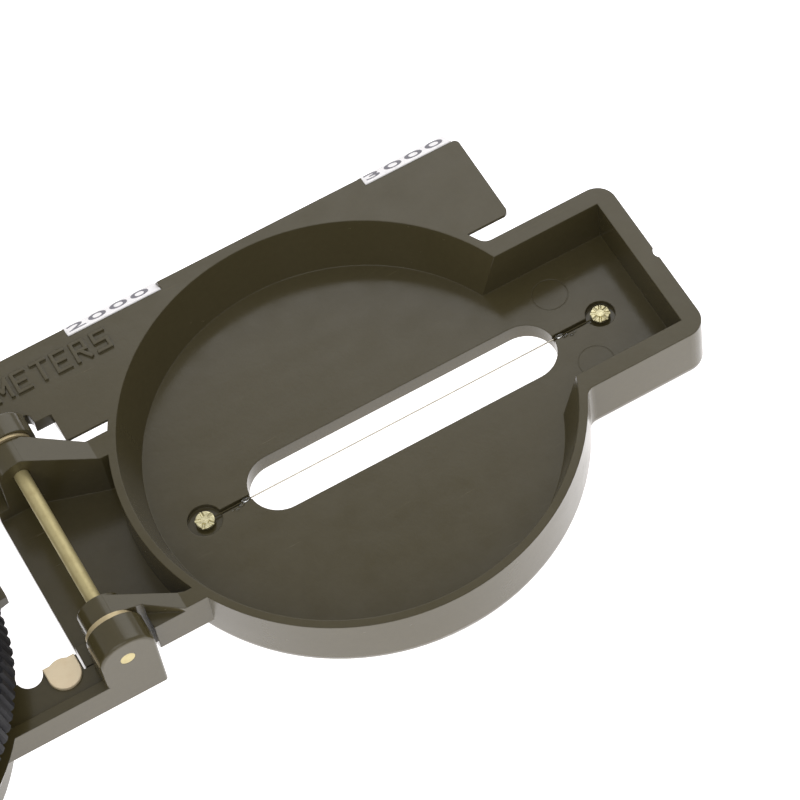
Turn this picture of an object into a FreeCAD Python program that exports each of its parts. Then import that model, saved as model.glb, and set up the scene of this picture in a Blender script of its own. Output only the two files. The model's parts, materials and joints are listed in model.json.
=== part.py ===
import FreeCAD, Part
import math
import os

# A folding sighting compass, lying open and flat.
# Millimetres. Origin on the underside of the base, on the dial's axis.
# +X runs along the sight line to the cover's front, +Y to the straightedge, +Z up.

V = FreeCAD.Vector
ACROSS = V(0, 1, 0)
UP = V(0, 0, 1)

# The plane where cover and base meet, and the hinge on it.
JOINT_Z = 14.0
HINGE_X = 35.8
CLOSED_GAP = 0.2  # base rim to cover rim with the cover shut
BASE_TOP = JOINT_Z - CLOSED_GAP

# Cover: a round cup with a rectangular nose in front of it.
CUP_X = 2 * HINGE_X
CUP_R = 27.8
CUP_WALL = 1.0  # at the rim; the hollow narrows towards its floor
CUP_FOOT_R = 24.8
COVER_DEPTH = 9.0
CUP_FLOOR = 2.4
NOSE_FRONT = 41.4
NOSE_HALF = 12.0
NOSE_WALL = 2.35
CORNER_R = 2.5
EDGE_R = 2.0
INNER_HALF = NOSE_HALF - NOSE_WALL
COVER_UNDER = JOINT_Z - COVER_DEPTH
COVER_FLOOR = COVER_UNDER + CUP_FLOOR

# Sighting slot, its wire and the two pins that hold the wire.
SLOT_REAR = -13.5
SLOT_FRONT = 27.0
SLOT_HALF = 3.86
FRONT_PIN_X = CUP_X + 33.4
REAR_PIN_X = CUP_X - 19.5
FRONT_RECESS_R = 1.8
REAR_RECESS_R = 2.1
RECESS_DEPTH = 0.65
GROOVE_HALF = 0.35
EJECTOR_RING_R = 2.1
WIRE_R = 0.09
WIRE_Z = COVER_FLOOR - 0.28
WIRE_LOOP_R = 0.76
SHANK_R = 0.6
HEAD_R = 1.2
HEAD_HIGH = 0.32
HEAD_GROOVE_R = 0.2

# Straightedge: one leaf on the cover and one on the base, in line when open.
# Its outer edge is steep, with a gentler slope cut into it for each label.
LEAF_THICK = 2.0
LEAF_EDGE = 0.4
LEAF_NEAR_Y = 14.15
LEAF_FULL_Y = 17.5
LEAF_TOP_Y = 28.15
LEAF_FOOT_Y = 29.4
LABEL_TOP_Y = 26.9
LEAF_FRONT_X = CUP_X + 29.6
LEAF_CORNER_R = 0.7
LEAF_REAR_X = -33.0
LEAF_GAP = 0.4  # each leaf's end to the hinge axis
SCALE_STEP = 40.0  # 1000 m on a 1:25 000 map
FIRST_LABEL_X = CUP_X + 17.1 - 3 * SCALE_STEP
LABEL_LONG = 12.4
FRONT_LABEL = 11.8
SHORT_LABEL = 4.2
LABEL_THICK = 0.25
LABEL_PAST = 0.2  # beyond the slope's foot
LABEL_SUNK = 0.12
WORD_X = 37.9
WORD_Y = 22.95
LETTER_HIGH = 2.65
LETTER_WIDE = 1.7
LETTER_PITCH = 2.6
LETTER_STROKE = 0.45
LETTER_PROUD = 0.3
WORD_CLEARANCE = 0.3

# Hinge: a lug at each side of the cover's tray, between two arms of the base.
PIN_R = 0.9
PIN_FIT = 0.02
RUNNING_FIT = 0.06
KNUCKLE_R = 3.3
KNUCKLE_FRONT = 3.65
KNUCKLE_ROUND = 3.2
KNUCKLE_SOFT = 0.4
LUG_R = 2.7
WASHER_R = 3.1
WASHER_GAP = 0.05  # each side of a washer
NEAR_ARM = (-15.0, -11.25)
FAR_ARM = (16.6, 19.65)
NEAR_LUG = (-10.5, -7.6)
FAR_LUG = (12.8, 16.15)
ARM_UNDER = 5.3
ARM_WALL = 1.35
ARM_WALL_TOP = 9.8
TRAY_FLOOR = 6.8
TRAY_REAR = HINGE_X - 4.1
TRAY_SIDE_Y = -12.8
TRAY_FAR_Y = 12.84
TRAY_FRONT_X = CUP_X - 18
SHELF_Z = 13.4
ARM_CLEAR_X = HINGE_X + 4.35
LEDGE_Z = 9.0
LEDGE_INNER_Y = -8.6
LEDGE_END_X = 31.4
LEDGE_STRIP_Y = -10.85
TAB_X = 29.2
TAB_Y = -10.3
TAB_R = 2.0
TAB_THICK = 0.45
STUD_R = 0.7

# Base: a tapered cup that holds the dial capsule, with a collar for the bezel.
FLANGE_R = 27.5
FLANGE_THICK = 1.4
BASE_FOOT_R = 22.6
BASE_SHOULDER_R = 26.4
BASE_FLOOR = 2.4
WELL_R = 22.7
COLLAR_R = 24.0
COLLAR_TOP = 15.6
WINDOW_R = 25.4
BLOCK_REAR_X = -41.4
BLOCK_UNDER = 1.5

# Bezel ring, its window and the split ring that keeps it on the collar.
BEZEL_R = 26.2
BEZEL_TOP_R = 25.2
BEZEL_RIBS = 120
RIB_DEPTH = 0.45
BEZEL_UNDER = 14.0
BEZEL_TOP = 18.2
BEZEL_BORE = 24.2
LIP_R = 21.2
GLASS_R = 22.6
GLASS_Z = (16.3, 17.5)
RETAINER_Z = (14.7, 15.2)
RETAINER_R = (23.55, 24.6)

# Dial capsule and what floats inside it.
BOWL_R = 22.5
BOWL_FLOOR = (2.4, 3.6)
BOWL_TOP = 15.4
BOWL_BORE = 21.2
CRYSTAL_SEAT_R = 21.9
CRYSTAL_Z = (14.1, 15.3)
GASKET_Z = (13.6, 14.1)
CARD_R = 20.3
CARD_Z = (10.5, 11.0)
PIVOT_TIP_Z = 10.2

# Lens bracket, drawn folded down and then raised about its pin.
EYE_X = -34.5
EYE_Z = 16.6
EYE_BARREL_R = 1.9
EYE_HALF = 4.8
EYE_EAR = (5.0, 7.6)
EYE_PIN_R = 0.8
EYE_PLATE_Z = (18.4, 19.9)
EYE_RAISED = 72.0
LENS_X = -15.0
LENS_R = 4.5
LENS_RING_R = 6.0
LENS_RING_Z = (17.9, 20.2)
EYE_TIP_X = -5.5

# Thumb ring behind the base.
RING_HINGE_X = -43.6
RING_HINGE_Z = 1.9
RING_BARREL_R = 1.8
RING_HALF = 5.8
RING_EAR = (6.0, 8.6)
RING_PIN_R = 0.8
RING_X = -57.4
RING_R = (9.6, 12.8)
RING_Z = (0.4, 3.3)


# ---- shape helpers ----

def box(x0, x1, y0, y1, z0, z1):
    return Part.makeBox(x1 - x0, y1 - y0, z1 - z0, V(x0, y0, z0))


def disc(radius, z0, z1, x=0.0, y=0.0):
    return Part.makeCylinder(radius, z1 - z0, V(x, y, z0), UP)


def hoop(inner, outer, z0, z1, x=0.0, y=0.0):
    return disc(outer, z0, z1, x, y).cut(disc(inner, z0 - 1, z1 + 1, x, y))


def rod(radius, y0, y1, x, z):
    return Part.makeCylinder(radius, y1 - y0, V(x, y0, z), ACROSS)


def face_of(points):
    return Part.Face(Part.makePolygon(points + [points[0]]))


def plan(outline, z0, z1):
    points = [V(x, y, z0) for x, y in outline]
    return face_of(points).extrude(V(0, 0, z1 - z0))


def profile_across(outline, y0, y1):
    points = [V(x, y0, z) for x, z in outline]
    return face_of(points).extrude(V(0, y1 - y0, 0))


def profile_along(outline, x0, x1):
    points = [V(x0, y, z) for y, z in outline]
    return face_of(points).extrude(V(x1 - x0, 0, 0))


def turned(outline):
    points = [V(r, 0, z) for r, z in outline]
    return face_of(points).revolve(V(0, 0, 0), UP, 360)


def upright_edges(shape, test):
    found = []
    for edge in shape.Edges:
        a, b = edge.Vertexes[0].Point, edge.Vertexes[-1].Point
        if math.hypot(a.x - b.x, a.y - b.y) < 0.001 and abs(a.z - b.z) > 1 and test(a):
            found.append(edge)
    return found


def edges_at_height(shape, z):
    low, high = z - 0.001, z + 0.001
    return [e for e in shape.Edges if low < e.BoundBox.ZMin and e.BoundBox.ZMax < high]


def save(name, shape):
    shape = shape.removeSplitter()
    solids = shape.Solids
    shape = solids[0] if len(solids) == 1 else Part.makeCompound(solids)
    sound = shape.isValid() and bool(solids)
    print(f"{name:22s} solids {len(solids)} volume {shape.Volume:9.2f} {'ok' if sound else 'BAD'}")
    shape.exportStep(f"parts/{name}.step")


# ---- straightedge leaves and labels ----

SLOPE_RUN = LEAF_FOOT_Y - LABEL_TOP_Y
SLOPE_LONG = math.hypot(SLOPE_RUN, LEAF_THICK)


def slope_point(top, along, out):
    """A point on a label's slope: along it from its top edge, and out from its face."""
    c, s = SLOPE_RUN / SLOPE_LONG, LEAF_THICK / SLOPE_LONG
    return LABEL_TOP_Y + along * c + out * s, top - along * s + out * c


def slope_strip(top, x0, x1, along, out):
    corners = [(along[0], out[0]), (along[1], out[0]), (along[1], out[1]), (along[0], out[1])]
    return profile_along([slope_point(top, a, o) for a, o in corners], x0, x1)


def leaf(x0, x1, top):
    outline = [(LEAF_NEAR_Y, top - LEAF_EDGE), (LEAF_FULL_Y, top - LEAF_THICK)]
    outline += [(LEAF_FOOT_Y, top - LEAF_THICK), (LEAF_TOP_Y, top), (LEAF_NEAR_Y, top)]
    return profile_along(outline, x0, x1)


def front_corner(top):
    """What is cut away to round the leaf's front corner, down to the label's end."""
    x, y = LEAF_FRONT_X - LEAF_CORNER_R, LABEL_TOP_Y - LEAF_CORNER_R
    corner = box(x, LEAF_FRONT_X + 1, y, LEAF_FOOT_Y + 1, top - LEAF_THICK - 1, top + 1)
    return corner.cut(disc(LEAF_CORNER_R, top - LEAF_THICK - 2, top + 2, x, y))


def label_start(thousands):
    return FIRST_LABEL_X + thousands * SCALE_STEP


def label_recess(thousands, length, top):
    x0 = label_start(thousands)
    return slope_strip(top, x0, x0 + length, (0.0, SLOPE_LONG + 1.0), (-LABEL_SUNK, 1.0))


def scale_label(thousands, length, top):
    x0 = label_start(thousands) + 0.05
    x1 = x0 + length - 0.1
    return slope_strip(top, x0, x1, (0.05, SLOPE_LONG + LABEL_PAST),
                       (-LABEL_SUNK, LABEL_THICK - LABEL_SUNK))


LETTERS = {
    "M": [((0, 0), (0, 1)), ((0, 1), (0.5, 0.35)), ((0.5, 0.35), (1, 1)), ((1, 1), (1, 0))],
    "E": [((0, 0), (0, 1)), ((0, 0), (0.9, 0)), ((0, 0.5), (0.75, 0.5)), ((0, 1), (0.9, 1))],
    "T": [((0.5, 0), (0.5, 1)), ((0, 1), (1, 1))],
    "R": [((0, 0), (0, 1)), ((0, 1), (0.85, 1)), ((0.85, 1), (0.85, 0.5)),
          ((0.85, 0.5), (0, 0.5)), ((0.4, 0.5), (0.95, 0))],
    "S": [((0.95, 1), (0.05, 1)), ((0.05, 1), (0.05, 0.5)), ((0.05, 0.5), (0.95, 0.5)),
          ((0.95, 0.5), (0.95, 0)), ((0.95, 0), (0.05, 0))],
}


def raised_word(word, top):
    """Letters that stand proud of the leaf, rooted a little way into it."""
    half, root = LETTER_STROKE / 2, 0.2
    bars = []
    for place, letter in enumerate(word):
        left = WORD_X + place * LETTER_PITCH
        for (x0, y0), (x1, y1) in LETTERS[letter]:
            a = V(left + x0 * LETTER_WIDE, WORD_Y + y0 * LETTER_HIGH, top - root)
            b = V(left + x1 * LETTER_WIDE, WORD_Y + y1 * LETTER_HIGH, top - root)
            run = b.sub(a)
            long, tall = run.Length + LETTER_STROKE, root + LETTER_PROUD
            bar = Part.makeBox(long, LETTER_STROKE, tall, V(-half, -half, 0))
            bar.rotate(V(0, 0, 0), UP, math.degrees(math.atan2(run.y, run.x)))
            bar.translate(a)
            bars.append(bar)
    return bars[0].multiFuse(bars[1:])


def word_pocket(word, top):
    """Room in the base's leaf for the cover's raised word, with the cover shut."""
    room = LETTER_STROKE / 2 + WORD_CLEARANCE
    near_x = 2 * HINGE_X - WORD_X + room
    far_x = 2 * HINGE_X - WORD_X - (len(word) - 1) * LETTER_PITCH - LETTER_WIDE - room
    floor = top - LETTER_PROUD - WORD_CLEARANCE + CLOSED_GAP
    return box(far_x, near_x, WORD_Y - room, WORD_Y + LETTER_HIGH + room, floor, top + 1)


# ---- cover ----

def cover_outside():
    cup = disc(CUP_R, COVER_UNDER, JOINT_Z, CUP_X)
    nose = box(CUP_X, CUP_X + NOSE_FRONT, -NOSE_HALF, NOSE_HALF, COVER_UNDER, JOINT_Z)
    nose = nose.makeFillet(CORNER_R, upright_edges(nose, lambda p: p.x > CUP_X + 1))
    shell = cup.fuse(nose).removeSplitter()
    throat = upright_edges(shell, lambda p: abs(abs(p.y) - NOSE_HALF) < 0.01 and p.x < CUP_X + 30)
    shell = shell.makeFillet(1.5, throat)
    return shell.makeFillet(EDGE_R, edges_at_height(shell, COVER_UNDER))


def cover_tray():
    """The part behind the cup: a floor, two slanting side walls and the two hinge lugs."""
    outline = [
        (TRAY_REAR, NEAR_LUG[0]), (ARM_CLEAR_X, NEAR_LUG[0]), (ARM_CLEAR_X, -10.6), (44.1, TRAY_SIDE_Y),
        (TRAY_FRONT_X, TRAY_SIDE_Y), (TRAY_FRONT_X, TRAY_FAR_Y), (44.0, TRAY_FAR_Y),
        (37.7, FAR_LUG[1]), (TRAY_REAR, FAR_LUG[1]),
    ]
    lug_top = JOINT_Z + LUG_R - 0.1
    tray = plan(outline, COVER_UNDER, lug_top)
    # the side walls fall from the lugs to the cup's rim
    slope = [(20, 30), (20, 8.6), (33.2, 8.6), (33.2, JOINT_Z), (HINGE_X, lug_top), (36.6, lug_top)]
    slope += [(44.3, JOINT_Z), (60, JOINT_Z), (60, 30)]
    tray = tray.cut(profile_across(slope, -20, 20))
    shelf = [(ARM_CLEAR_X, NEAR_LUG[0]), (ARM_CLEAR_X, TRAY_SIDE_Y), (48, TRAY_SIDE_Y), (48, NEAR_LUG[0])]
    tray = tray.fuse(plan(shelf, COVER_UNDER, SHELF_Z))
    inside = [
        (28, NEAR_LUG[1]), (36.3, NEAR_LUG[1]), (45.1, -10.8), (CUP_X - 10, -10.8),
        (CUP_X - 10, 9.9), (44.7, 9.9), (36.3, FAR_LUG[0]), (28, FAR_LUG[0]),
    ]
    tray = tray.cut(plan(inside, TRAY_FLOOR, JOINT_Z + 5))
    for y0, y1 in (NEAR_LUG, FAR_LUG):
        web = box(HINGE_X - LUG_R, HINGE_X + LUG_R, y0, y1, COVER_UNDER + 1, JOINT_Z)
        tray = tray.fuse(rod(LUG_R, y0, y1, HINGE_X, JOINT_Z)).fuse(web)
    # the near side's lower edge is cut back
    corner = [(TRAY_SIDE_Y - 1, COVER_UNDER - 1), (-9.6, COVER_UNDER - 1), (-9.6, COVER_UNDER)]
    corner += [(TRAY_SIDE_Y, 8.6), (TRAY_SIDE_Y - 1, 8.6)]
    return tray.cut(profile_along(corner, TRAY_REAR - 1, CUP_X))


def cup_hollow():
    deep = JOINT_Z - COVER_FLOOR
    widening = (CUP_R - CUP_WALL - CUP_FOOT_R) / deep
    tall = deep + 1
    return Part.makeCone(CUP_FOOT_R, CUP_FOOT_R + widening * tall, tall, V(CUP_X, 0, COVER_FLOOR), UP)


def cover_leaf():
    blade = leaf(HINGE_X + LEAF_GAP, LEAF_FRONT_X, JOINT_Z)
    # notched round the far arm
    low, high = JOINT_Z - LEAF_THICK - 1, JOINT_Z + 1
    notch = box(30, ARM_CLEAR_X, 10, FAR_ARM[1] + 0.25, low, high)
    notch = notch.makeFillet(0.8, upright_edges(notch, lambda p: p.x > HINGE_X and p.y > FAR_ARM[0]))
    blade = blade.cut(notch).cut(box(30, 42.3, 10, 18.35, low, high))
    blade = blade.makeFillet(0.8, [e for e in blade.Edges
                                   if abs(e.BoundBox.XMin - LEAF_FRONT_X) < 0.001
                                   and abs(e.BoundBox.YMax - LEAF_NEAR_Y) < 0.001])
    blade = blade.cut(front_corner(JOINT_Z))
    return blade.fuse(raised_word("METERS", JOINT_Z))


def cover_shell():
    shell = cover_outside().fuse(cover_tray()).fuse(cover_leaf()).cut(cup_hollow())
    shell = shell.cut(box(CUP_X, CUP_X + NOSE_FRONT - NOSE_WALL, -INNER_HALF, INNER_HALF,
                          COVER_FLOOR, JOINT_Z + 1))
    slot = box(CUP_X + SLOT_REAR + SLOT_HALF, CUP_X + SLOT_FRONT - SLOT_HALF,
               -SLOT_HALF, SLOT_HALF, COVER_UNDER - 1, JOINT_Z)
    for x in (SLOT_REAR + SLOT_HALF, SLOT_FRONT - SLOT_HALF):
        slot = slot.fuse(disc(SLOT_HALF, COVER_UNDER - 1, JOINT_Z, CUP_X + x))
    shell = shell.cut(slot)
    sunk = COVER_FLOOR - RECESS_DEPTH
    for x, radius in ((REAR_PIN_X, REAR_RECESS_R), (FRONT_PIN_X, FRONT_RECESS_R)):
        shell = shell.cut(disc(radius, sunk, JOINT_Z, x))
        shell = shell.cut(disc(SHANK_R + PIN_FIT, COVER_UNDER + 0.4, JOINT_Z, x))
    # faint rings that the ejectors leave in the nose
    for y in (-5.5, 5.5):
        ring = hoop(EJECTOR_RING_R, EJECTOR_RING_R + 0.08, COVER_FLOOR - 0.03, JOINT_Z, CUP_X + 29.7, y)
        shell = shell.cut(ring)
    shell = shell.cut(box(REAR_PIN_X, FRONT_PIN_X, -GROOVE_HALF, GROOVE_HALF, sunk, JOINT_Z))
    # sighting groove down the nose's front
    groove_r, groove_depth = 1.0, 0.35
    groove_x = CUP_X + NOSE_FRONT + groove_r - groove_depth
    shell = shell.cut(disc(groove_r, COVER_UNDER - 1, JOINT_Z + 1, groove_x))
    shell = shell.cut(rod(PIN_R + RUNNING_FIT, -30, 30, HINGE_X, JOINT_Z))
    shell = shell.cut(label_recess(2, LABEL_LONG, JOINT_Z))
    return shell.cut(label_recess(3, FRONT_LABEL, JOINT_Z))


def sighting_wire():
    run = FRONT_PIN_X - REAR_PIN_X - 2 * WIRE_LOOP_R
    wire = Part.makeCylinder(WIRE_R, run, V(REAR_PIN_X + WIRE_LOOP_R, 0, WIRE_Z), V(1, 0, 0))
    for x in (REAR_PIN_X, FRONT_PIN_X):
        wire = wire.fuse(Part.makeTorus(WIRE_LOOP_R, WIRE_R, V(x, 0, WIRE_Z)))
    return wire


def wire_pin(x, petals):
    """A pin whose head is peened into a ring of petals."""
    foot = WIRE_Z + WIRE_R + 0.02
    crown = foot + HEAD_HIGH
    pin = disc(SHANK_R, COVER_UNDER + 0.5, foot, x)
    head = disc(HEAD_R, foot, crown, x)
    head = head.makeFillet(0.15, edges_at_height(head, crown))
    inner = 0.45
    for number in range(petals):
        turn = 2 * math.pi * number / petals + 0.3
        way = V(math.cos(turn), math.sin(turn), 0)
        start = V(x, 0, crown + 0.04).add(way * inner)
        head = head.cut(Part.makeCylinder(HEAD_GROOVE_R, HEAD_R, start, way))
    return pin.fuse(head)


# ---- base ----

def base_cup():
    groove_r, low, high = RETAINER_R[0] - 0.05, RETAINER_Z[0] - 0.05, RETAINER_Z[1] + 0.05
    outline = [
        (0, 0), (BASE_FOOT_R - 0.6, 0), (BASE_FOOT_R, 0.6),
        (BASE_SHOULDER_R, BASE_TOP - FLANGE_THICK - 0.4), (FLANGE_R, BASE_TOP - FLANGE_THICK),
        (FLANGE_R, BASE_TOP), (COLLAR_R, BASE_TOP), (COLLAR_R, low), (groove_r, low),
        (groove_r, high), (COLLAR_R, high), (COLLAR_R, COLLAR_TOP), (0, COLLAR_TOP),
    ]
    return turned(outline)


def knuckle(y0, y1, outer_y):
    """A rounded block on the hinge pin, softened round its outer end."""
    rear, front = HINGE_X - KNUCKLE_R, HINGE_X + KNUCKLE_FRONT
    crown = JOINT_Z + KNUCKLE_R
    round_x, round_z = front - KNUCKLE_ROUND, crown - KNUCKLE_ROUND
    half = math.sqrt(0.5)
    start, top_rear = V(rear, y0, JOINT_Z), V(HINGE_X, y0, crown)
    top_front, end = V(round_x, y0, crown), V(front, y0, round_z)
    rear_middle = V(HINGE_X - half * KNUCKLE_R, y0, JOINT_Z + half * KNUCKLE_R)
    front_middle = V(round_x + half * KNUCKLE_ROUND, y0, round_z + half * KNUCKLE_ROUND)
    rear_foot, front_foot = V(rear, y0, ARM_UNDER), V(front, y0, ARM_UNDER)
    outline = Part.Wire([
        Part.makeLine(rear_foot, start), Part.Arc(start, rear_middle, top_rear).toShape(),
        Part.makeLine(top_rear, top_front), Part.Arc(top_front, front_middle, end).toShape(),
        Part.makeLine(end, front_foot), Part.makeLine(front_foot, rear_foot),
    ])
    block = Part.Face(outline).extrude(V(0, y1 - y0, 0))
    end_edges = [e for e in block.Edges
                 if abs(e.BoundBox.YMin - outer_y) < 0.001 and abs(e.BoundBox.YMax - outer_y) < 0.001
                 and e.BoundBox.ZMax > ARM_UNDER + 0.1]
    return block.makeFillet(KNUCKLE_SOFT, end_edges)


def arm(y0, y1, outer_y, rear_x, top):
    """A hinge arm: a bar from the base cup to its knuckle."""
    bar = box(rear_x, HINGE_X + KNUCKLE_FRONT - KNUCKLE_SOFT - 0.1, y0, y1, ARM_UNDER, top)
    return bar.fuse(knuckle(y0, y1, outer_y))


def rear_block():
    """Behind the dial: a hollow block that carries the lens bracket and the thumb ring."""
    block = box(BLOCK_REAR_X, -20, -NOSE_HALF, NOSE_HALF, BLOCK_UNDER, BASE_TOP)
    block = block.makeFillet(CORNER_R, upright_edges(block, lambda p: p.x < BLOCK_REAR_X + 1))
    block = block.cut(box(BLOCK_REAR_X + 2.2, -27.2, -INNER_HALF, INNER_HALF,
                          BLOCK_UNDER - 1, BASE_TOP - 2.4))
    for side in (-1, 1):
        y0, y1 = sorted((side * EYE_EAR[0], side * EYE_EAR[1]))
        block = block.fuse(box(EYE_X - 2.1, EYE_X + 2.1, y0, y1, BASE_TOP - 1, EYE_Z))
        block = block.fuse(rod(2.1, y0, y1, EYE_X, EYE_Z))
        y0, y1 = sorted((side * RING_EAR[0], side * RING_EAR[1]))
        block = block.fuse(box(RING_HINGE_X, BLOCK_REAR_X + 1, y0, y1, 0.1, 3.7))
        block = block.fuse(rod(RING_BARREL_R, y0, y1, RING_HINGE_X, RING_HINGE_Z))
    return block


def base_shell():
    shell = base_cup().fuse(leaf(LEAF_REAR_X, HINGE_X - LEAF_GAP, BASE_TOP))
    # the bay between the arms, where the cover's tray swings
    shell = shell.cut(box(27.6, 50, NEAR_ARM[1], FAR_ARM[0], -1, 30))
    # the rim is cut down beside the near arm, where the tray's slanting wall comes to lie
    lowered = box(14, 34, -30, LEDGE_INNER_Y + 2, ARM_WALL_TOP, BASE_TOP + 0.1)
    shell = shell.cut(lowered.cut(disc(COLLAR_R, 0, 30)))
    shell = shell.fuse(arm(*NEAR_ARM, NEAR_ARM[0], 14.0, ARM_WALL_TOP))
    shell = shell.fuse(arm(*FAR_ARM, FAR_ARM[1], 12.0, BASE_TOP))
    shell = shell.fuse(box(18, LEDGE_END_X, NEAR_ARM[1] - 1, LEDGE_INNER_Y, ARM_UNDER, ARM_WALL_TOP))
    shell = shell.fuse(box(LEDGE_END_X - 1, HINGE_X - KNUCKLE_R + 1, NEAR_ARM[1] - 1, LEDGE_STRIP_Y,
                           ARM_UNDER, LEDGE_Z))
    shell = shell.fuse(rear_block())
    # the ledge in the near arm, open to the bay, for the brass tab
    shell = shell.cut(box(21.0, HINGE_X - KNUCKLE_R, NEAR_ARM[0] + ARM_WALL, LEDGE_INNER_Y + 2,
                          LEDGE_Z, ARM_WALL_TOP + 0.1))
    shell = shell.cut(disc(1.6, -1, 30, 25.6, LEDGE_INNER_Y + 0.3))
    # the window in the rim, beside the bezel
    window = box(20, 40, LEDGE_INNER_Y, -0.6, -1, BASE_TOP + 1)
    shell = shell.cut(window.cut(disc(WINDOW_R, -2, 30)))
    shell = shell.fuse(hoop(WELL_R, COLLAR_R, BASE_FLOOR, BASE_TOP + 0.5))
    shell = shell.cut(disc(WELL_R, BASE_FLOOR, 30))
    shell = shell.cut(hoop(17.0, 18.2, -1, 0.4))
    shell = shell.cut(rod(PIN_R + PIN_FIT, -30, 30, HINGE_X, JOINT_Z))
    shell = shell.cut(rod(EYE_PIN_R + PIN_FIT, -30, 30, EYE_X, EYE_Z))
    shell = shell.cut(rod(RING_PIN_R + PIN_FIT, -30, 30, RING_HINGE_X, RING_HINGE_Z))
    shell = shell.cut(disc(STUD_R + PIN_FIT, LEDGE_Z - 2, LEDGE_Z + 5, TAB_X, TAB_Y))
    shell = shell.cut(word_pocket("METERS", BASE_TOP))
    shell = shell.cut(label_recess(1, LABEL_LONG, BASE_TOP))
    return shell.cut(label_recess(0, SHORT_LABEL, BASE_TOP))


def hinge_washer(y0, y1):
    washer = rod(WASHER_R, y0, y1, HINGE_X, JOINT_Z)
    return washer.cut(rod(PIN_R + RUNNING_FIT, y0 - 1, y1 + 1, HINGE_X, JOINT_Z))


def brass_tab():
    """A D-shaped brass plate on the ledge, held by the stud beneath it."""
    top = LEDGE_Z + TAB_THICK
    tab = disc(TAB_R, LEDGE_Z, top, TAB_X, TAB_Y)
    tab = tab.fuse(box(TAB_X - TAB_R, TAB_X + TAB_R, TAB_Y, LEDGE_INNER_Y, LEDGE_Z, top))
    tab = tab.makeFillet(0.15, edges_at_height(tab, top))
    return tab.fuse(disc(STUD_R, LEDGE_Z - 1.8, LEDGE_Z + 0.1, TAB_X, TAB_Y))


# ---- bezel ----

def rib_outline(radius, z):
    points = []
    for number in range(BEZEL_RIBS):
        for share, reach in ((0.0, radius - RIB_DEPTH), (0.3, radius), (0.7, radius)):
            turn = 2 * math.pi * (number + share) / BEZEL_RIBS
            points.append(V(reach * math.cos(turn), reach * math.sin(turn), z))
    return Part.makePolygon(points + [points[0]])


def bezel_ring():
    """The ring narrows upwards, to go into the cover's cup."""
    ends = [rib_outline(BEZEL_R, BEZEL_UNDER), rib_outline(BEZEL_TOP_R, BEZEL_TOP)]
    ring = Part.makeLoft(ends, True, True)
    envelope = turned([
        (LIP_R, BEZEL_TOP - 0.6), (LIP_R + 0.6, BEZEL_TOP), (BEZEL_TOP_R - 0.6, BEZEL_TOP),
        (BEZEL_TOP_R + 0.2, BEZEL_TOP - 0.7), (BEZEL_R + 0.1, BEZEL_UNDER + 0.3),
        (BEZEL_R - 0.2, BEZEL_UNDER), (BEZEL_BORE, BEZEL_UNDER), (BEZEL_BORE, RETAINER_Z[0] - 0.1),
        (RETAINER_R[1] + 0.1, RETAINER_Z[0] - 0.1), (RETAINER_R[1] + 0.1, RETAINER_Z[1] + 0.1),
        (BEZEL_BORE, RETAINER_Z[1] + 0.1), (BEZEL_BORE, COLLAR_TOP + 0.2),
        (GLASS_R + 0.1, COLLAR_TOP + 0.2), (GLASS_R + 0.1, GLASS_Z[1]), (LIP_R, GLASS_Z[1]),
    ])
    return ring.common(envelope)


def bezel_retainer():
    ring = hoop(RETAINER_R[0], RETAINER_R[1], *RETAINER_Z)
    return ring.cut(box(-30, 0, -1.5, 1.5, 10, 20))


def bezel_glass():
    return disc(GLASS_R, *GLASS_Z)


def luminous_line():
    return box(9.5, 20.5, -0.55, 0.55, GLASS_Z[1], GLASS_Z[1] + 0.12)


# ---- dial capsule ----

def capsule_bowl():
    bowl = disc(BOWL_R, BOWL_FLOOR[0] + 0.02, BOWL_TOP).cut(disc(BOWL_BORE, BOWL_FLOOR[1], 30))
    bowl = bowl.cut(disc(CRYSTAL_SEAT_R, GASKET_Z[0], 30))
    bowl = bowl.fuse(disc(2.6, BOWL_FLOOR[1] - 0.2, BOWL_FLOOR[1] + 1.6))
    return bowl.cut(disc(1.02, BOWL_FLOOR[1] - 0.4, 30))


def capsule_gasket():
    return hoop(BOWL_BORE, CRYSTAL_SEAT_R - 0.05, *GASKET_Z)


def capsule_crystal():
    return disc(CRYSTAL_SEAT_R - 0.05, *CRYSTAL_Z)


def pivot_post():
    foot = BOWL_FLOOR[1] - 0.4
    outline = [(0, foot), (1.0, foot), (1.0, 7.6), (0.45, 8.4), (0.4, PIVOT_TIP_Z - 0.8)]
    return turned(outline + [(0, PIVOT_TIP_Z)])


def jewel_cup():
    crown = CARD_Z[1] + 0.8
    outline = [(0.75, 8.6), (1.9, 8.6), (1.9, crown - 0.3), (0.9, crown), (0, crown)]
    return turned(outline + [(0, PIVOT_TIP_Z + 0.06), (0.75, PIVOT_TIP_Z - 0.7)])


def dial_card():
    return hoop(1.93, CARD_R, *CARD_Z)


def dial_magnets():
    bars = [box(-11.5, 11.5, y - 1.1, y + 1.1, CARD_Z[0] - 1.2, CARD_Z[0]) for y in (-4.5, 4.5)]
    return Part.makeCompound(bars)


# ---- lens bracket ----

def raised(shape):
    shape.rotate(V(EYE_X, 0, EYE_Z), V(0, -1, 0), EYE_RAISED)
    return shape


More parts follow.
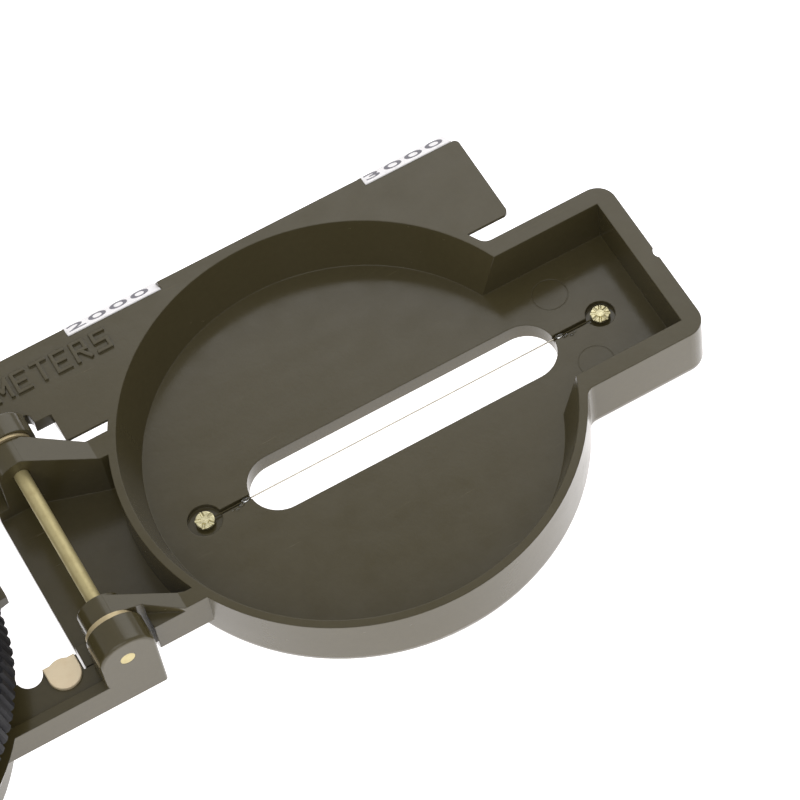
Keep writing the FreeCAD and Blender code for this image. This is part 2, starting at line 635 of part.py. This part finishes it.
def lens_bracket():
    low, high = EYE_PLATE_Z
    bracket = box(EYE_X + 1.0, LENS_X, -EYE_HALF, EYE_HALF, low, high)
    bracket = bracket.fuse(rod(EYE_BARREL_R, -EYE_HALF, EYE_HALF, EYE_X, EYE_Z))
    heel = [(-1.7, 0.3), (1.9, 0), (4.6, low - EYE_Z), (4.6, high - EYE_Z)]
    heel += [(-0.5, high - EYE_Z), (-1.7, 2.2)]
    bracket = bracket.fuse(profile_across([(EYE_X + x, EYE_Z + z) for x, z in heel], -EYE_HALF, EYE_HALF))
    bracket = bracket.fuse(disc(LENS_RING_R, LENS_RING_Z[0], LENS_RING_Z[1], LENS_X))
    tip = box(LENS_X, EYE_TIP_X, -3.0, 3.0, low, high)
    tip = tip.makeFillet(1.2, upright_edges(tip, lambda p: p.x > EYE_TIP_X - 0.1))
    bracket = bracket.fuse(tip)
    # rear sight notch, lens seat and two stiffening grooves
    bracket = bracket.cut(box(EYE_TIP_X - 2.6, EYE_TIP_X + 1, -0.4, 0.4, low - 1, high + 1))
    bracket = bracket.cut(disc(LENS_R + 0.05, LENS_RING_Z[0] + 0.6, 30, LENS_X))
    bracket = bracket.cut(disc(LENS_R - 0.5, LENS_RING_Z[0] - 1, 30, LENS_X))
    for y in (-2.6, 2.6):
        bracket = bracket.cut(box(EYE_X + 6, LENS_X - 8, y - 0.5, y + 0.5, high - 0.4, high + 1))
    bracket = bracket.cut(rod(EYE_PIN_R + RUNNING_FIT, -10, 10, EYE_X, EYE_Z))
    return raised(bracket)


def magnifying_lens():
    foot = LENS_RING_Z[0] + 0.6
    bulge = 0.45
    sphere_r = (LENS_R ** 2 + bulge ** 2) / (2 * bulge)
    lens = disc(LENS_R, foot, foot + 0.7 + bulge, LENS_X)
    lens = lens.common(Part.makeSphere(sphere_r, V(LENS_X, 0, foot + 0.7 + bulge - sphere_r)))
    return raised(lens)


def lens_retaining_ring():
    foot = LENS_RING_Z[0] + 0.6 + 0.7 + 0.02
    return raised(hoop(LENS_R - 0.55, LENS_R, foot, foot + 0.5, LENS_X).cut(
        disc(LENS_R, foot - 1, foot + 0.12, LENS_X)))


# ---- thumb ring ----

def thumb_ring():
    ring = disc(RING_R[1], *RING_Z, RING_X)
    neck = box(RING_X, RING_HINGE_X, -RING_HALF, RING_HALF, *RING_Z)
    ring = ring.fuse(neck).removeSplitter().cut(disc(RING_R[0], -5, 10, RING_X))
    rims = edges_at_height(ring, RING_Z[0]) + edges_at_height(ring, RING_Z[1])
    ring = ring.makeFillet(0.7, [e for e in rims if e.Curve.TypeId == "Part::GeomCircle"])
    ring = ring.fuse(rod(RING_BARREL_R, -RING_HALF, RING_HALF, RING_HINGE_X, RING_HINGE_Z))
    return ring.cut(rod(RING_PIN_R + RUNNING_FIT, -10, 10, RING_HINGE_X, RING_HINGE_Z))


# ---- all pieces ----

def build():
    os.makedirs("parts", exist_ok=True)
    save("cover_shell", cover_shell())
    save("sighting_wire", sighting_wire())
    save("front_wire_pin", wire_pin(FRONT_PIN_X, 8))
    save("rear_wire_pin", wire_pin(REAR_PIN_X, 5))
    save("scale_label_3000", scale_label(3, FRONT_LABEL, JOINT_Z))
    save("scale_label_2000", scale_label(2, LABEL_LONG, JOINT_Z))
    save("scale_label_1000", scale_label(1, LABEL_LONG, BASE_TOP))
    save("scale_label_0", scale_label(0, SHORT_LABEL, BASE_TOP))
    save("base_shell", base_shell())
    save("hinge_pin", rod(PIN_R, NEAR_ARM[0], FAR_ARM[1], HINGE_X, JOINT_Z))
    save("near_hinge_washer", hinge_washer(NEAR_ARM[1] + WASHER_GAP, NEAR_LUG[0] - WASHER_GAP))
    save("far_hinge_washer", hinge_washer(FAR_LUG[1] + WASHER_GAP, FAR_ARM[0] - WASHER_GAP))
    save("brass_tab", brass_tab())
    save("bezel_ring", bezel_ring())
    save("bezel_retainer", bezel_retainer())
    save("bezel_glass", bezel_glass())
    save("luminous_line", luminous_line())
    save("capsule_bowl", capsule_bowl())
    save("capsule_gasket", capsule_gasket())
    save("capsule_crystal", capsule_crystal())
    save("pivot_post", pivot_post())
    save("jewel_cup", jewel_cup())
    save("dial_card", dial_card())
    save("dial_magnets", dial_magnets())
    save("lens_bracket", lens_bracket())
    save("magnifying_lens", magnifying_lens())
    save("lens_retaining_ring", lens_retaining_ring())
    save("eyepiece_pin", rod(EYE_PIN_R, -EYE_EAR[1], EYE_EAR[1], EYE_X, EYE_Z))
    save("thumb_ring", thumb_ring())
    save("thumb_ring_pin", rod(RING_PIN_R, -RING_EAR[1], RING_EAR[1], RING_HINGE_X, RING_HINGE_Z))


build()
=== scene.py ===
import json
import math

import bmesh
import bpy
from mathutils import Matrix, Quaternion, Vector


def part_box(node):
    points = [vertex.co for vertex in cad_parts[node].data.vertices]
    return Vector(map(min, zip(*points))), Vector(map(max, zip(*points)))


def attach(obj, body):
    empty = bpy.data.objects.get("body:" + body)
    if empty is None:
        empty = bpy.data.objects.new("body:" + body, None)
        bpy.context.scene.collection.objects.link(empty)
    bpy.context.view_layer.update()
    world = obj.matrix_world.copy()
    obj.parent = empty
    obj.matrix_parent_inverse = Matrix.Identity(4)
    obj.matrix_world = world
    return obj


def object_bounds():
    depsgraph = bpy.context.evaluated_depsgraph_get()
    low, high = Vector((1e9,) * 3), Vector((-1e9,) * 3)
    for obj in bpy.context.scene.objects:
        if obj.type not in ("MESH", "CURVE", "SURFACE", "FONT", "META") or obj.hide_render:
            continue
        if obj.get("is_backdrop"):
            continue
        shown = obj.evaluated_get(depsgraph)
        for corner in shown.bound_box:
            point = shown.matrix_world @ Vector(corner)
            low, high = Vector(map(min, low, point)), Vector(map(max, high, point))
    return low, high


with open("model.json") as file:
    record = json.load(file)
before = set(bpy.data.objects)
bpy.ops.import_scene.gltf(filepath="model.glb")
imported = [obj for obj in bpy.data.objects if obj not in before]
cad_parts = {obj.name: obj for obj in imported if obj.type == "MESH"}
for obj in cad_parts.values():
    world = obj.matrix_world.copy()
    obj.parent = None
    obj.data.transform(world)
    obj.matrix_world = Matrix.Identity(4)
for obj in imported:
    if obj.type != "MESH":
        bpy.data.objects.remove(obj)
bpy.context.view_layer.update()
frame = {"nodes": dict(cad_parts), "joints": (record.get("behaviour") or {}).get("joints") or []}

MM = 0.001
NODES = frame["nodes"]
JOINTS = {joint["name"]: joint for joint in frame["joints"]}
HINGE = Vector(JOINTS["cover_hinge"]["pos_m"])
CUP_X = 2 * HINGE.x  # the cup's axis mirrors the dial's in the hinge
JOINT_Z = HINGE.z  # the plane where cover and base meet
COVER_FLOOR_Z = JOINT_Z - 6.6 * MM  # the floor that the wire's groove is cut in
SLOT_MIDDLE = 6.75 * MM  # from the cup's axis to the middle of the slot
SLOT_REACH = 20.25 * MM  # half the slot's length
LABEL_THICK = 0.25 * MM
PRINT_HALF = 0.01 * MM  # half the thickness of printed lettering
EDGE_SOFT = 0.16 * MM  # the radius that moulded edges look rounded to

OLIVE = (0.072, 0.059, 0.026)
OLIVE_SHADE = (0.064, 0.052, 0.021)
FLOOR_GLOW = 1.3  # the pale floor shines like a light table
SKY = 0.55


# ---- node helpers ----

def new_material(name):
    material = bpy.data.materials.new(name)
    material.use_nodes = True
    tree = material.node_tree
    return material, tree, tree.nodes["Principled BSDF"]


def add(tree, kind, **inputs):
    node = tree.nodes.new("ShaderNode" + kind)
    for key, value in inputs.items():
        node.inputs[key.replace("_", " ")].default_value = value
    return node


def place(tree):
    return tree.nodes.new("ShaderNodeTexCoord").outputs["Object"]


def noise(tree, scale, detail=3.0, rough=0.5, where=None):
    node = add(tree, "TexNoise", Scale=scale, Detail=detail, Roughness=rough)
    tree.links.new(where or place(tree), node.inputs["Vector"])
    return node.outputs["Fac"]


def ramp(tree, value, stops):
    node = tree.nodes.new("ShaderNodeValToRGB")
    elements = node.color_ramp.elements
    while len(elements) < len(stops):
        elements.new(0.5)
    for element, (position, colour) in zip(elements, stops):
        element.position = position
        element.color = (*colour, 1)
    tree.links.new(value, node.inputs["Fac"])
    return node.outputs["Color"]


def grey_ramp(tree, value, low, high, start=0.3, stop=0.7):
    return ramp(tree, value, [(start, (low,) * 3), (stop, (high,) * 3)])


def mix(tree, share, first, second, kind="MIX"):
    node = tree.nodes.new("ShaderNodeMix")
    node.data_type = "RGBA"
    node.blend_type = kind
    for socket, value in ((node.inputs[0], share), (node.inputs[6], first), (node.inputs[7], second)):
        if isinstance(value, bpy.types.NodeSocket):
            tree.links.new(value, socket)
        elif isinstance(value, tuple):
            socket.default_value = (*value, 1)
        else:
            socket.default_value = value
    return node.outputs[2]


def maths(tree, operation, first, second=0.0):
    node = tree.nodes.new("ShaderNodeMath")
    node.operation = operation
    for socket, value in zip(node.inputs, (first, second)):
        if isinstance(value, bpy.types.NodeSocket):
            tree.links.new(value, socket)
        else:
            socket.default_value = value
    return node.outputs[0]


def bump(tree, shader, layers, edge=0.0):
    """Each layer is (height, strength, depth in metres). Sharp edges are softened to the radius edge."""
    last = None
    if edge:
        last = add(tree, "Bevel", Radius=edge).outputs["Normal"]
    for height, strength, depth in layers:
        node = add(tree, "Bump", Strength=strength, Distance=depth)
        tree.links.new(height, node.inputs["Height"])
        if last:
            tree.links.new(last, node.inputs["Normal"])
        last = node.outputs["Normal"]
    tree.links.new(last, shader.inputs["Normal"])


def stretched(tree, scale):
    node = add(tree, "Mapping", Scale=scale)
    tree.links.new(place(tree), node.inputs["Vector"])
    return node.outputs["Vector"]


# ---- materials ----

def moulded_plastic(name, colour, shade, roughness=0.18):
    """Satin moulded plastic: faint tone clouds, fine die grain, flow lines and a few hairline scuffs."""
    material, tree, shader = new_material(name)
    clouds = noise(tree, 70, 3)
    flecks = noise(tree, 1400, 2)
    tone = mix(tree, grey_ramp(tree, clouds, 0, 1), colour, shade)
    tone = mix(tree, grey_ramp(tree, flecks, 0.0, 0.10), tone, tuple(1.5 * c for c in colour))
    scuffs = noise(tree, 1.0, 4, 0.65, stretched(tree, (90, 1500, 1500)))
    scuffed = ramp(tree, scuffs, [(0.66, (0, 0, 0)), (0.74, (1, 1, 1))])
    tone = mix(tree, maths(tree, "MULTIPLY", scuffed, 0.10), tone, tuple(min(1, 3 * c) for c in colour))
    tree.links.new(tone, shader.inputs["Base Color"])
    rough = grey_ramp(tree, noise(tree, 300, 4), roughness - 0.03, roughness + 0.05)
    rough = maths(tree, "ADD", rough, maths(tree, "MULTIPLY", scuffed, 0.10))
    tree.links.new(rough, shader.inputs["Roughness"])
    shader.inputs["IOR"].default_value = 1.5
    waves = noise(tree, 1.0, 1, 0.5, stretched(tree, (60, 160, 160)))
    bump(tree, shader, [
        (noise(tree, 3200, 2), 0.14, 0.00003),
        (noise(tree, 600, 2), 0.12, 0.00004),
        (waves, 0.12, 0.00025),
    ], EDGE_SOFT)
    return material


def brass(name, colour, tarnish, roughness, metallic, lines=(300, 300, 300), relief=0.25):
    """Worn brass with drawn lines and browned patches. A low metallic share makes it dull and pale."""
    material, tree, shader = new_material(name)
    patches = noise(tree, 900, 4, 0.6)
    tone = mix(tree, grey_ramp(tree, patches, 0, 0.55, 0.45, 0.75), colour, tarnish)
    tree.links.new(tone, shader.inputs["Base Color"])
    shader.inputs["Metallic"].default_value = metallic
    drawn = noise(tree, 1.0, 3, 0.6, stretched(tree, lines))
    tree.links.new(grey_ramp(tree, patches, roughness - 0.06, roughness + 0.14), shader.inputs["Roughness"])
    bump(tree, shader, [(drawn, relief, 0.00003)])
    return material


def steel(name, colour=(0.56, 0.55, 0.52), roughness=0.32):
    material, tree, shader = new_material(name)
    patches = noise(tree, 1200, 3)
    tone = mix(tree, grey_ramp(tree, patches, 0, 0.5), colour, tuple(0.7 * c for c in colour))
    tree.links.new(tone, shader.inputs["Base Color"])
    shader.inputs["Metallic"].default_value = 1.0
    tree.links.new(grey_ramp(tree, patches, roughness - 0.07, roughness + 0.1), shader.inputs["Roughness"])
    bump(tree, shader, [(noise(tree, 2500, 2), 0.15, 0.00002)])
    return material


def sight_wire(name, bright, groove_shade):
    """Drawn wire, bright across the slot; where it lies in its groove it is painted dark as the groove's
    shade, and made rougher.
    """
    material, tree, shader = new_material(name)
    along = tree.nodes.new("ShaderNodeSeparateXYZ")
    tree.links.new(place(tree), along.inputs[0])
    from_middle = maths(tree, "ABSOLUTE", maths(tree, "SUBTRACT", along.outputs["X"], CUP_X + SLOT_MIDDLE))
    in_groove = maths(tree, "GREATER_THAN", from_middle, SLOT_REACH)
    patches = grey_ramp(tree, noise(tree, 1200, 3), 0, 0.5)
    tone = mix(tree, patches, bright, tuple(0.7 * c for c in bright))
    # painted shade: the wire's colour turns dark where it lies in the groove's shadow
    tree.links.new(mix(tree, in_groove, tone, groove_shade), shader.inputs["Base Color"])
    shader.inputs["Metallic"].default_value = 1.0
    tree.links.new(grey_ramp(tree, in_groove, 0.25, 0.6), shader.inputs["Roughness"])
    bump(tree, shader, [(noise(tree, 2500, 2), 0.15, 0.00002)])
    return material


def black_plastic(name, colour=(0.006, 0.006, 0.008), roughness=0.50):
    material, tree, shader = new_material(name)
    dust = noise(tree, 1800, 4, 0.7)
    tone = mix(tree, ramp(tree, dust, [(0.58, (0, 0, 0)), (0.80, (0.5,) * 3)]), colour,
               tuple(4 * c for c in colour))
    tree.links.new(tone, shader.inputs["Base Color"])
    tree.links.new(grey_ramp(tree, noise(tree, 400, 3), roughness - 0.06, roughness + 0.08),
                   shader.inputs["Roughness"])
    shader.inputs["Specular IOR Level"].default_value = 0.22
    bump(tree, shader, [(noise(tree, 2600, 2), 0.2, 0.00003)])
    return material


def printed(name, colour, worn, roughness=0.5):
    """Printed or painted surface that is a little uneven."""
    material, tree, shader = new_material(name)
    patches = noise(tree, 1500, 4, 0.65)
    tone = mix(tree, ramp(tree, patches, [(0.5, (0, 0, 0)), (0.75, (1, 1, 1))]), colour, worn)
    tree.links.new(tone, shader.inputs["Base Color"])
    tree.links.new(grey_ramp(tree, patches, roughness - 0.05, roughness + 0.1), shader.inputs["Roughness"])
    bump(tree, shader, [(noise(tree, 2500, 2), 0.15, 0.00001)])
    return material


def clear_plastic(name, roughness=0.02, ior=1.49):
    """Clear plastic with a few very faint rubs."""
    material, tree, shader = new_material(name)
    shader.inputs["Base Color"].default_value = (0.97, 0.985, 0.98, 1)
    shader.inputs["Transmission Weight"].default_value = 1.0
    shader.inputs["IOR"].default_value = ior
    rubs = noise(tree, 1.0, 3, 0.6, stretched(tree, (200, 1600, 200)))
    tree.links.new(ramp(tree, rubs, [(0.6, (roughness,) * 3), (0.8, (roughness + 0.07,) * 3)]),
                   shader.inputs["Roughness"])
    return material


MATERIALS = {
    "cover": moulded_plastic("olive_cover", OLIVE, OLIVE_SHADE),
    "base": moulded_plastic("olive_base", OLIVE, OLIVE_SHADE),
    "bracket": moulded_plastic("olive_bracket", OLIVE, OLIVE_SHADE, 0.38),
    "brass_pin": brass("brass_pin", (0.66, 0.61, 0.38), (0.34, 0.28, 0.12), 0.22, metallic=0.9,
                       lines=(1500, 1500, 1500), relief=1.0),
    "brass_rod": brass("brass_rod", (0.56, 0.48, 0.24), (0.42, 0.34, 0.16), 0.45, metallic=0.45,
                       lines=(300, 60, 300)),
    "brass_washer": brass("brass_washer", (0.62, 0.51, 0.30), (0.46, 0.36, 0.19), 0.42, metallic=0.6),
    # painted highlight: a near-white colour with little metal stands in for the bright glare of the lit
    # brass tab
    "brass_sheet_painted_glare": brass("brass_sheet_painted_glare", (0.98, 0.82, 0.56), (0.90, 0.72, 0.47), 0.35, metallic=0.1),
    # the second colour is painted shade for the wire where it lies in its groove
    "wire": sight_wire("drawn_wire", (0.82, 0.76, 0.64), (0.10, 0.085, 0.045)),
    "steel": steel("plain_steel"),
    "bezel": black_plastic("black_bezel"),
    "capsule": black_plastic("black_capsule"),
    "rubber": black_plastic("black_rubber", (0.012, 0.012, 0.012), 0.7),
    "label": printed("label_white", (0.96, 0.945, 0.945), (0.88, 0.86, 0.86)),
    "card": printed("dial_black", (0.012, 0.012, 0.013), (0.022, 0.022, 0.022)),
    "glow": printed("luminous", (0.55, 0.72, 0.38), (0.45, 0.60, 0.30), 0.6),
    "clear": clear_plastic("clear_window"),
    "lens": clear_plastic("clear_lens", 0.01, 1.52),
}

FINISH = {
    "cover": ["cover_shell"],
    "base": ["base_shell"],
    "bracket": ["lens_bracket", "thumb_ring"],
    "brass_pin": ["front_wire_pin", "rear_wire_pin", "jewel_cup"],
    "brass_rod": ["hinge_pin", "eyepiece_pin", "thumb_ring_pin"],
    "brass_washer": ["near_hinge_washer", "far_hinge_washer"],
    "brass_sheet_painted_glare": ["brass_tab"],
    "wire": ["sighting_wire"],
    "steel": ["bezel_retainer", "pivot_post", "dial_magnets"],
    "bezel": ["bezel_ring", "lens_retaining_ring"],
    "capsule": ["capsule_bowl"],
    "rubber": ["capsule_gasket"],
    "label": ["scale_label_3000", "scale_label_2000", "scale_label_1000", "scale_label_0"],
    "card": ["dial_card"],
    "glow": ["luminous_line"],
    "clear": ["bezel_glass", "capsule_crystal"],
    "lens": ["magnifying_lens"],
}


def dress_cad_nodes():
    for finish, names in FINISH.items():
        for name in names:
            mesh = NODES[name].data
            mesh.materials.clear()
            mesh.materials.append(MATERIALS[finish])


# ---- camera, floor and light ----

def camera():
    """The view from above the near side, turned a little, with a long lens."""
    azimuth, elevation, roll = math.radians(-19.402), math.radians(58.090), math.radians(10.903)
    target = Vector((CUP_X + 6.16 * MM, -1.68 * MM, JOINT_Z))
    distance = 423.2  # mm
    back = Vector((math.sin(azimuth) * math.cos(elevation),
                   -math.cos(azimuth) * math.cos(elevation), math.sin(elevation)))
    data = bpy.data.cameras.new("camera")
    data.lens = 165.55
    data.sensor_width = 36
    data.clip_start = 0.01
    eye = bpy.data.objects.new("camera", data)
    eye.location = target + back * distance * MM
    eye.rotation_mode = "QUATERNION"
    look = (-back).to_track_quat("-Z", "Y")
    eye.rotation_quaternion = look @ Quaternion((0, 0, 1), -roll)
    bpy.context.scene.collection.objects.link(eye)
    bpy.context.scene.camera = eye


def floor():
    """A wide pale sheet just under the compass."""
    mesh = bpy.data.meshes.new("floor")
    half = 3.0
    gap = 0.05 * MM
    corners = [(-half, -half, 0), (half, -half, 0), (half, half, 0), (-half, half, 0)]
    mesh.from_pydata(corners, [], [(0, 1, 2, 3)])
    sheet = bpy.data.objects.new("floor", mesh)
    sheet.location.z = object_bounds()[0].z - gap
    bpy.context.scene.collection.objects.link(sheet)
    material, tree, shader = new_material("pale_floor")
    tone = mix(tree, noise(tree, 8, 3), (0.93, 0.915, 0.925), (0.90, 0.885, 0.895))
    tree.links.new(tone, shader.inputs["Base Color"])
    tree.links.new(tone, shader.inputs["Emission Color"])
    shader.inputs["Emission Strength"].default_value = FLOOR_GLOW
    shader.inputs["Roughness"].default_value = 0.6
    mesh.materials.append(material)
    sheet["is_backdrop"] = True


def softbox(name, azimuth, elevation, distance, side, radiance):
    """A square lamp that faces the compass, from the given direction in degrees."""
    turn, rise = math.radians(azimuth), math.radians(elevation)
    way = Vector((math.cos(rise) * math.cos(turn), math.cos(rise) * math.sin(turn), math.sin(rise)))
    data = bpy.data.lights.new(name, "AREA")
    data.shape = "SQUARE"
    data.size = side
    data.energy = radiance * math.pi * side * side
    lamp = bpy.data.objects.new(name, data)
    lamp.location = Vector((CUP_X, 0, 0)) + way * distance
    lamp.rotation_mode = "QUATERNION"
    lamp.rotation_quaternion = (-way).to_track_quat("-Z", "Y")
    bpy.context.scene.collection.objects.link(lamp)


def light():
    world = bpy.data.worlds.new("studio")
    world.use_nodes = True
    world.node_tree.nodes["Background"].inputs["Color"].default_value = (1.0, 0.99, 1.0, 1)
    world.node_tree.nodes["Background"].inputs["Strength"].default_value = SKY
    bpy.context.scene.world = world
    softbox("key", azimuth=54, elevation=38.5, distance=1.45, side=1.1, radiance=1.3)
    softbox("fill", azimuth=-125, elevation=55, distance=1.6, side=1.5, radiance=1.0)
    bpy.context.scene.view_settings.view_transform = "Standard"


# ---- added pieces ----

def mesh_object(name, mesh, material, body):
    piece = bpy.data.objects.new(name, mesh)
    bpy.context.scene.collection.objects.link(piece)
    mesh.materials.append(material)
    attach(piece, body)
    return piece


def text_mesh(words, height, stretch=1.0, bold=0.0):
    """Flat lettering as a thin closed mesh, centred on the origin, standing on XY."""
    curve = bpy.data.curves.new("words", "FONT")
    curve.body = words
    curve.size = height / 0.7  # capitals fill about 0.7 of the font's size
    curve.align_x = "CENTER"
    curve.align_y = "CENTER"
    curve.extrude = PRINT_HALF
    curve.offset = bold
    curve.resolution_u = 4
    holder = bpy.data.objects.new("words", curve)
    bpy.context.scene.collection.objects.link(holder)
    bpy.context.view_layer.update()
    mesh = bpy.data.meshes.new_from_object(holder.evaluated_get(bpy.context.evaluated_depsgraph_get()))
    bpy.data.objects.remove(holder)
    mesh.transform(Matrix.Diagonal((stretch, 1, 1, 1)))
    mesh.materials.clear()
    return mesh


def joined(meshes, name):
    merged = bmesh.new()
    for mesh in meshes:
        merged.from_mesh(mesh)
        bpy.data.meshes.remove(mesh)
    result = bpy.data.meshes.new(name)
    merged.to_mesh(result)
    merged.free()
    return result


def bar_mesh(x0, x1, y0, y1, z0, z1):
    shape = bmesh.new()
    bmesh.ops.create_cube(shape, size=1)
    bmesh.ops.scale(shape, verts=shape.verts, vec=(x1 - x0, y1 - y0, z1 - z0))
    bmesh.ops.translate(shape, verts=shape.verts, vec=((x0 + x1) / 2, (y0 + y1) / 2, (z0 + z1) / 2))
    mesh = bpy.data.meshes.new("bar")
    shape.to_mesh(mesh)
    shape.free()
    return mesh


def label_digits():
    """The numbers on the straightedge's labels, each printed along its bevel."""
    ink = printed("label_ink", (0.12, 0.115, 0.14), (0.22, 0.21, 0.24), 0.55)
    height = 2.1 * MM
    stretch = 1.7
    bold = 0.02 * MM
    pitch = 2.82 * MM
    first = 1.55 * MM
    below_middle = 0.1  # mm
    for words, node, body in (("3000", "scale_label_3000", "cover"), ("2000", "scale_label_2000", "cover"),
                              ("1000", "scale_label_1000", "base"), ("0", "scale_label_0", "base")):
        low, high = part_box(node)
        slope = math.atan2(high.z - low.z, high.y - low.y)
        for _ in range(8):  # allow for the label's own thickness in its box
            slope = math.atan2(high.z - low.z - LABEL_THICK * math.cos(slope),
                               high.y - low.y - LABEL_THICK * math.sin(slope))
        middle = Vector((low.x, (low.y + high.y) / 2, (low.z + high.z) / 2))
        out = Vector((0, math.sin(slope), math.cos(slope)))
        down = Vector((0, math.cos(slope), -math.sin(slope)))
        glyphs = []
        for place_number, digit in enumerate(words):
            glyph = text_mesh(digit, height, stretch, bold)
            along = (high.x - low.x) / 2 if len(words) == 1 else first + place_number * pitch
            spot = middle + Vector((along, 0, 0)) + down * below_middle * MM
            spot += out * (LABEL_THICK / 2 + PRINT_HALF)
            glyph.transform(Matrix.Translation(spot) @ Matrix.Rotation(-slope, 4, "X"))
            glyphs.append(glyph)
        mesh_object(f"digits_{words}", joined(glyphs, f"digits_{words}"), ink, body)


def dial_print():
    """Degree ticks and numbers in two rings round the card, the letters E, S and W, and the north arrow."""
    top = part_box("dial_card")[1].z
    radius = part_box("dial_card")[1].x
    foot, crown = top + 0.005 * MM, top + 0.03 * MM
    white = printed("dial_white", (0.95, 0.95, 0.91), (0.82, 0.82, 0.78))
    red = printed("dial_red", (0.90, 0.07, 0.04), (0.75, 0.08, 0.05))
    outer_end = radius - 0.5 * MM
    inner_end = radius - 8.6 * MM
    outer_half = 0.09 * MM
    inner_half = 0.07 * MM
    outer_numbers = radius - 3.7 * MM
    inner_numbers = radius - 6.2 * MM
    letters = radius - 11.2 * MM
    ticks, inner = [], []
    for degrees in range(0, 360, 5):
        turn = Matrix.Rotation(math.radians(degrees), 4, "Z")
        long_one = degrees % 10 == 0
        outer_long = (1.9 if long_one else 1.1) * MM
        inner_long = (1.0 if long_one else 0.6) * MM
        tick = bar_mesh(outer_end - outer_long, outer_end, -outer_half, outer_half, foot, crown)
        tick.transform(turn)
        ticks.append(tick)
        tick = bar_mesh(inner_end, inner_end + inner_long, -inner_half, inner_half, foot, crown)
        tick.transform(turn)
        inner.append(tick)
    for degrees in range(0, 360, 20):
        turn = Matrix.Rotation(math.radians(-degrees - 90), 4, "Z")
        number = text_mesh(str(degrees), 1.5 * MM, 0.95)
        number.transform(turn @ Matrix.Translation((0, outer_numbers, crown)))
        ticks.append(number)
        number = text_mesh(str(degrees // 10), 1.2 * MM, 0.95)
        number.transform(turn @ Matrix.Translation((0, inner_numbers, crown)))
        inner.append(number)
    for letter, degrees in (("E", 90), ("S", 180), ("W", 270)):
        glyph = text_mesh(letter, 3.0 * MM)
        glyph.transform(Matrix.Rotation(math.radians(-degrees - 90), 4, "Z")
                        @ Matrix.Translation((0, letters, crown)))
        ticks.append(glyph)
    mesh_object("dial_print", joined(ticks, "dial_print"), white, "dial")
    mesh_object("dial_inner_print", joined(inner, "dial_inner_print"), red, "dial")
    arrow = bmesh.new()
    # in mm, and pointing along +Y until it is turned to +X below
    outline = [(-1.6, 8.6), (0, 12.0), (1.6, 8.6), (0.45, 8.9), (0.45, 3.4), (-0.45, 3.4), (-0.45, 8.9)]
    low_ring = [arrow.verts.new((x * MM, y * MM, foot)) for x, y in outline]
    high_ring = [arrow.verts.new((x * MM, y * MM, crown)) for x, y in outline]
    arrow.faces.new(list(reversed(high_ring)))
    arrow.faces.new(low_ring)
    for number in range(len(outline)):
        after = (number + 1) % len(outline)
        arrow.faces.new([low_ring[after], low_ring[number], high_ring[number], high_ring[after]])
    bmesh.ops.recalc_face_normals(arrow, faces=arrow.faces)
    mesh = bpy.data.meshes.new("north_arrow")
    arrow.to_mesh(mesh)
    arrow.free()
    mesh.transform(Matrix.Rotation(math.radians(-90), 4, "Z"))
    mesh_object("north_arrow", mesh, MATERIALS["glow"], "dial")


def glue_dabs():
    """A little clear glue where the wire enters its groove, at each end of the slot."""
    glue = clear_plastic("glue", 0.08, 1.46)
    past_slot = 0.4 * MM
    lump_z = COVER_FLOOR_Z + 0.05 * MM
    # each lump in mm: how far along the wire, how far across it, and its radius
    dab = ((0.3, -0.1, 0.36), (1.0, -0.45, 0.26), (1.7, -0.75, 0.18), (2.2, -0.6, 0.12))
    for name, way in (("rear", -1), ("front", 1)):
        start = CUP_X + SLOT_MIDDLE + way * (SLOT_REACH + past_slot)
        lumps = []
        for along, across, size in dab:
            lump = bmesh.new()
            bmesh.ops.create_icosphere(lump, subdivisions=3, radius=size * MM)
            bmesh.ops.scale(lump, verts=lump.verts, vec=(1.5, 0.8, 0.6))
            spot = (start + way * along * MM, across * MM, lump_z)
            bmesh.ops.translate(lump, verts=lump.verts, vec=spot)
            mesh = bpy.data.meshes.new("lump")
            lump.to_mesh(mesh)
            lump.free()
            lumps.append(mesh)
        piece = mesh_object(f"glue_{name}", joined(lumps, f"glue_{name}"), glue, "cover")
        for polygon in piece.data.polygons:
            polygon.use_smooth = True


def index_line():
    """The fixed black reading line printed on the capsule's lid."""
    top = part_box("capsule_crystal")[1].z
    ink = printed("index_ink", (0.01, 0.01, 0.01), (0.02, 0.02, 0.02))
    near_end = 8 * MM
    far_end = 20.6 * MM
    half = 0.13 * MM
    line = bar_mesh(near_end, far_end, -half, half, top, top + 0.03 * MM)
    mesh_object("index_line", line, ink, "base")


dress_cad_nodes()
camera()
floor()
light()
label_digits()
dial_print()
index_line()
glue_dabs()
